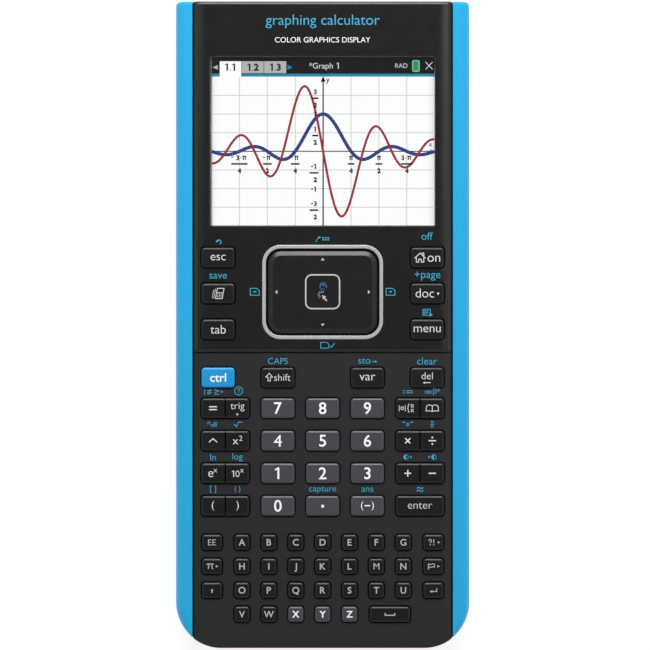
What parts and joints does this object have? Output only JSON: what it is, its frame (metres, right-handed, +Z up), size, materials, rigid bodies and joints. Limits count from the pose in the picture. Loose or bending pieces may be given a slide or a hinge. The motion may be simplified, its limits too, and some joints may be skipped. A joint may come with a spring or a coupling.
{
  "type": "graphing calculator",
  "caption": "Handheld graphing calculator with a landscape colour screen, a clicking touchpad, number and command keys, small letter keys, blue side rails and a screwed rear battery door.",
  "frame": {"origin": "middle of the footprint, on the plane that the rubber feet stand on, with the calculator lying on its back", "axes": "+X to the right and +Y towards the screen end as the user reads it, +Z up, out of the screen"},
  "size_m": [0.0864, 0.19, 0.0157],
  "materials": {
    "case_black": "fine satin, moulded",
    "bezel_black": "satin",
    "rear_black": "fine spark-eroded texture",
    "rail_blue": "soft gloss",
    "key_black": "satin, crowned caps",
    "key_grey": "satin, crowned caps",
    "key_blue": "satin, crowned cap",
    "ring_silver": "satin silver",
    "pad_black": "semi-gloss",
    "window_clear": "clear gloss",
    "display_white": "lit display in a metal frame",
    "screen_ink": "picture on the display",
    "board_green": "solder-masked circuit board",
    "membrane_grey": "silicone dome sheet",
    "inner_plastic": "plain inner moulding",
    "cell_foil": "wrapped lithium cell",
    "steel": "blackened or plated steel",
    "foot_rubber": "matt rubber",
    "legend_white": "printed ink",
    "legend_blue": "printed ink"
  },
  "bodies": {
    "case": {"front_case": "case_black", "display_bezel": "bezel_black", "rear_cover": "rear_black", "left_side_rail": "rail_blue", "right_side_rail": "rail_blue", "display_window": "window_clear", "display_module": "display_white", "main_board": "board_green", "key_membrane": "membrane_grey", "touchpad_ring": "ring_silver", "battery_pack": "cell_foil", "battery_door": "rear_black", "usb_socket": "steel", "screws": "steel", "rubber_feet": "foot_rubber"},
    "touchpad_support": {"touchpad_support": "inner_plastic"},
    "touchpad_sensor": {"touchpad_sensor": "board_green"},
    "touchpad_plate": {"touchpad_plate": "pad_black"},
    "reset_button": {"reset_button": "inner_plastic"},
    "key_esc": {"key_esc": "key_black"},
    "key_calc": {"key_calc": "key_black"},
    "key_tab": {"key_tab": "key_black"},
    "key_on": {"key_on": "key_black"},
    "key_doc": {"key_doc": "key_black"},
    "key_menu": {"key_menu": "key_black"},
    "key_ctrl": {"key_ctrl": "key_blue"},
    "key_shift": {"key_shift": "key_black"},
    "key_var": {"key_var": "key_black"},
    "key_del": {"key_del": "key_black"},
    "key_7": {"key_7": "key_grey"},
    "key_8": {"key_8": "key_grey"},
    "key_9": {"key_9": "key_grey"},
    "key_4": {"key_4": "key_grey"},
    "key_5": {"key_5": "key_grey"},
    "key_6": {"key_6": "key_grey"},
    "key_1": {"key_1": "key_grey"},
    "key_2": {"key_2": "key_grey"},
    "key_3": {"key_3": "key_grey"},
    "key_0": {"key_0": "key_grey"},
    "key_point": {"key_point": "key_grey"},
    "key_negative": {"key_negative": "key_grey"},
    "key_equals": {"key_equals": "key_black"},
    "key_trig": {"key_trig": "key_black"},
    "key_power": {"key_power": "key_black"},
    "key_square": {"key_square": "key_black"},
    "key_exp": {"key_exp": "key_black"},
    "key_ten_power": {"key_ten_power": "key_black"},
    "key_paren_open": {"key_paren_open": "key_black"},
    "key_paren_close": {"key_paren_close": "key_black"},
    "key_template": {"key_template": "key_black"},
    "key_catalog": {"key_catalog": "key_black"},
    "key_multiply": {"key_multiply": "key_black"},
    "key_divide": {"key_divide": "key_black"},
    "key_plus": {"key_plus": "key_black"},
    "key_minus": {"key_minus": "key_black"},
    "key_enter": {"key_enter": "key_black"},
    "letter_keys_row_1": {"letter_keys_row_1": "key_black"},
    "letter_keys_row_2": {"letter_keys_row_2": "key_black"},
    "letter_keys_row_3": {"letter_keys_row_3": "key_black"},
    "letter_keys_row_4": {"letter_keys_row_4": "key_black"}
  },
  "joints": [
    {"name": "touchpad_click", "type": "slide", "parent": "case", "child": "touchpad_support", "axis": [0, 0, -1], "range_m": [0, 0.0004], "stiffness_N_per_m": 800, "springref_m": -0.0004},
    {"name": "touchpad_rock_up_down", "type": "hinge", "parent": "touchpad_support", "child": "touchpad_sensor", "pos_m": [0, 0.0096, 0.0134], "axis": [1, 0, 0], "range_deg": [-1, 1], "stiffness_Nm_per_rad": 0.6},
    {"name": "touchpad_rock_left_right", "type": "hinge", "parent": "touchpad_sensor", "child": "touchpad_plate", "pos_m": [0, 0.0096, 0.0134], "axis": [0, 1, 0], "range_deg": [-1, 1], "stiffness_Nm_per_rad": 0.6},
    {"name": "reset_press", "type": "slide", "parent": "case", "child": "reset_button", "axis": [0, 0, 1], "range_m": [0, 0.0004], "stiffness_N_per_m": 400, "springref_m": -0.0004},
    {"name": "key_esc_press", "type": "slide", "parent": "case", "child": "key_esc", "axis": [0, 0, -1], "range_m": [0, 0.0006], "stiffness_N_per_m": 500, "springref_m": -0.0005},
    {"name": "key_calc_press", "type": "slide", "parent": "case", "child": "key_calc", "axis": [0, 0, -1], "range_m": [0, 0.0006], "stiffness_N_per_m": 500, "springref_m": -0.0005},
    {"name": "key_tab_press", "type": "slide", "parent": "case", "child": "key_tab", "axis": [0, 0, -1], "range_m": [0, 0.0006], "stiffness_N_per_m": 500, "springref_m": -0.0005},
    {"name": "key_on_press", "type": "slide", "parent": "case", "child": "key_on", "axis": [0, 0, -1], "range_m": [0, 0.0006], "stiffness_N_per_m": 500, "springref_m": -0.0005},
    {"name": "key_doc_press", "type": "slide", "parent": "case", "child": "key_doc", "axis": [0, 0, -1], "range_m": [0, 0.0006], "stiffness_N_per_m": 500, "springref_m": -0.0005},
    {"name": "key_menu_press", "type": "slide", "parent": "case", "child": "key_menu", "axis": [0, 0, -1], "range_m": [0, 0.0006], "stiffness_N_per_m": 500, "springref_m": -0.0005},
    {"name": "key_ctrl_press", "type": "slide", "parent": "case", "child": "key_ctrl", "axis": [0, 0, -1], "range_m": [0, 0.0006], "stiffness_N_per_m": 500, "springref_m": -0.0005},
    {"name": "key_shift_press", "type": "slide", "parent": "case", "child": "key_shift", "axis": [0, 0, -1], "range_m": [0, 0.0006], "stiffness_N_per_m": 500, "springref_m": -0.0005},
    {"name": "key_var_press", "type": "slide", "parent": "case", "child": "key_var", "axis": [0, 0, -1], "range_m": [0, 0.0006], "stiffness_N_per_m": 500, "springref_m": -0.0005},
    {"name": "key_del_press", "type": "slide", "parent": "case", "child": "key_del", "axis": [0, 0, -1], "range_m": [0, 0.0006], "stiffness_N_per_m": 500, "springref_m": -0.0005},
    {"name": "key_7_press", "type": "slide", "parent": "case", "child": "key_7", "axis": [0, 0, -1], "range_m": [0, 0.0006], "stiffness_N_per_m": 500, "springref_m": -0.0005},
    {"name": "key_8_press", "type": "slide", "parent": "case", "child": "key_8", "axis": [0, 0, -1], "range_m": [0, 0.0006], "stiffness_N_per_m": 500, "springref_m": -0.0005},
    {"name": "key_9_press", "type": "slide", "parent": "case", "child": "key_9", "axis": [0, 0, -1], "range_m": [0, 0.0006], "stiffness_N_per_m": 500, "springref_m": -0.0005},
    {"name": "key_4_press", "type": "slide", "parent": "case", "child": "key_4", "axis": [0, 0, -1], "range_m": [0, 0.0006], "stiffness_N_per_m": 500, "springref_m": -0.0005},
    {"name": "key_5_press", "type": "slide", "parent": "case", "child": "key_5", "axis": [0, 0, -1], "range_m": [0, 0.0006], "stiffness_N_per_m": 500, "springref_m": -0.0005},
    {"name": "key_6_press", "type": "slide", "parent": "case", "child": "key_6", "axis": [0, 0, -1], "range_m": [0, 0.0006], "stiffness_N_per_m": 500, "springref_m": -0.0005},
    {"name": "key_1_press", "type": "slide", "parent": "case", "child": "key_1", "axis": [0, 0, -1], "range_m": [0, 0.0006], "stiffness_N_per_m": 500, "springref_m": -0.0005},
    {"name": "key_2_press", "type": "slide", "parent": "case", "child": "key_2", "axis": [0, 0, -1], "range_m": [0, 0.0006], "stiffness_N_per_m": 500, "springref_m": -0.0005},
    {"name": "key_3_press", "type": "slide", "parent": "case", "child": "key_3", "axis": [0, 0, -1], "range_m": [0, 0.0006], "stiffness_N_per_m": 500, "springref_m": -0.0005},
    {"name": "key_0_press", "type": "slide", "parent": "case", "child": "key_0", "axis": [0, 0, -1], "range_m": [0, 0.0006], "stiffness_N_per_m": 500, "springref_m": -0.0005},
    {"name": "key_point_press", "type": "slide", "parent": "case", "child": "key_point", "axis": [0, 0, -1], "range_m": [0, 0.0006], "stiffness_N_per_m": 500, "springref_m": -0.0005},
    {"name": "key_negative_press", "type": "slide", "parent": "case", "child": "key_negative", "axis": [0, 0, -1], "range_m": [0, 0.0006], "stiffness_N_per_m": 500, "springref_m": -0.0005},
    {"name": "key_equals_press", "type": "slide", "parent": "case", "child": "key_equals", "axis": [0, 0, -1], "range_m": [0, 0.0006], "stiffness_N_per_m": 500, "springref_m": -0.0005},
    {"name": "key_trig_press", "type": "slide", "parent": "case", "child": "key_trig", "axis": [0, 0, -1], "range_m": [0, 0.0006], "stiffness_N_per_m": 500, "springref_m": -0.0005},
    {"name": "key_power_press", "type": "slide", "parent": "case", "child": "key_power", "axis": [0, 0, -1], "range_m": [0, 0.0006], "stiffness_N_per_m": 500, "springref_m": -0.0005},
    {"name": "key_square_press", "type": "slide", "parent": "case", "child": "key_square", "axis": [0, 0, -1], "range_m": [0, 0.0006], "stiffness_N_per_m": 500, "springref_m": -0.0005},
    {"name": "key_exp_press", "type": "slide", "parent": "case", "child": "key_exp", "axis": [0, 0, -1], "range_m": [0, 0.0006], "stiffness_N_per_m": 500, "springref_m": -0.0005},
    {"name": "key_ten_power_press", "type": "slide", "parent": "case", "child": "key_ten_power", "axis": [0, 0, -1], "range_m": [0, 0.0006], "stiffness_N_per_m": 500, "springref_m": -0.0005},
    {"name": "key_paren_open_press", "type": "slide", "parent": "case", "child": "key_paren_open", "axis": [0, 0, -1], "range_m": [0, 0.0006], "stiffness_N_per_m": 500, "springref_m": -0.0005},
    {"name": "key_paren_close_press", "type": "slide", "parent": "case", "child": "key_paren_close", "axis": [0, 0, -1], "range_m": [0, 0.0006], "stiffness_N_per_m": 500, "springref_m": -0.0005},
    {"name": "key_template_press", "type": "slide", "parent": "case", "child": "key_template", "axis": [0, 0, -1], "range_m": [0, 0.0006], "stiffness_N_per_m": 500, "springref_m": -0.0005},
    {"name": "key_catalog_press", "type": "slide", "parent": "case", "child": "key_catalog", "axis": [0, 0, -1], "range_m": [0, 0.0006], "stiffness_N_per_m": 500, "springref_m": -0.0005},
    {"name": "key_multiply_press", "type": "slide", "parent": "case", "child": "key_multiply", "axis": [0, 0, -1], "range_m": [0, 0.0006], "stiffness_N_per_m": 500, "springref_m": -0.0005},
    {"name": "key_divide_press", "type": "slide", "parent": "case", "child": "key_divide", "axis": [0, 0, -1], "range_m": [0, 0.0006], "stiffness_N_per_m": 500, "springref_m": -0.0005},
    {"name": "key_plus_press", "type": "slide", "parent": "case", "child": "key_plus", "axis": [0, 0, -1], "range_m": [0, 0.0006], "stiffness_N_per_m": 500, "springref_m": -0.0005},
    {"name": "key_minus_press", "type": "slide", "parent": "case", "child": "key_minus", "axis": [0, 0, -1], "range_m": [0, 0.0006], "stiffness_N_per_m": 500, "springref_m": -0.0005},
    {"name": "key_enter_press", "type": "slide", "parent": "case", "child": "key_enter", "axis": [0, 0, -1], "range_m": [0, 0.0006], "stiffness_N_per_m": 500, "springref_m": -0.0005},
    {"name": "letter_keys_row_1_press", "type": "slide", "parent": "case", "child": "letter_keys_row_1", "axis": [0, 0, -1], "range_m": [0, 0.0006], "stiffness_N_per_m": 500, "springref_m": -0.0005},
    {"name": "letter_keys_row_2_press", "type": "slide", "parent": "case", "child": "letter_keys_row_2", "axis": [0, 0, -1], "range_m": [0, 0.0006], "stiffness_N_per_m": 500, "springref_m": -0.0005},
    {"name": "letter_keys_row_3_press", "type": "slide", "parent": "case", "child": "letter_keys_row_3", "axis": [0, 0, -1], "range_m": [0, 0.0006], "stiffness_N_per_m": 500, "springref_m": -0.0005},
    {"name": "letter_keys_row_4_press", "type": "slide", "parent": "case", "child": "letter_keys_row_4", "axis": [0, 0, -1], "range_m": [0, 0.0006], "stiffness_N_per_m": 500, "springref_m": -0.0005}
  ]
}
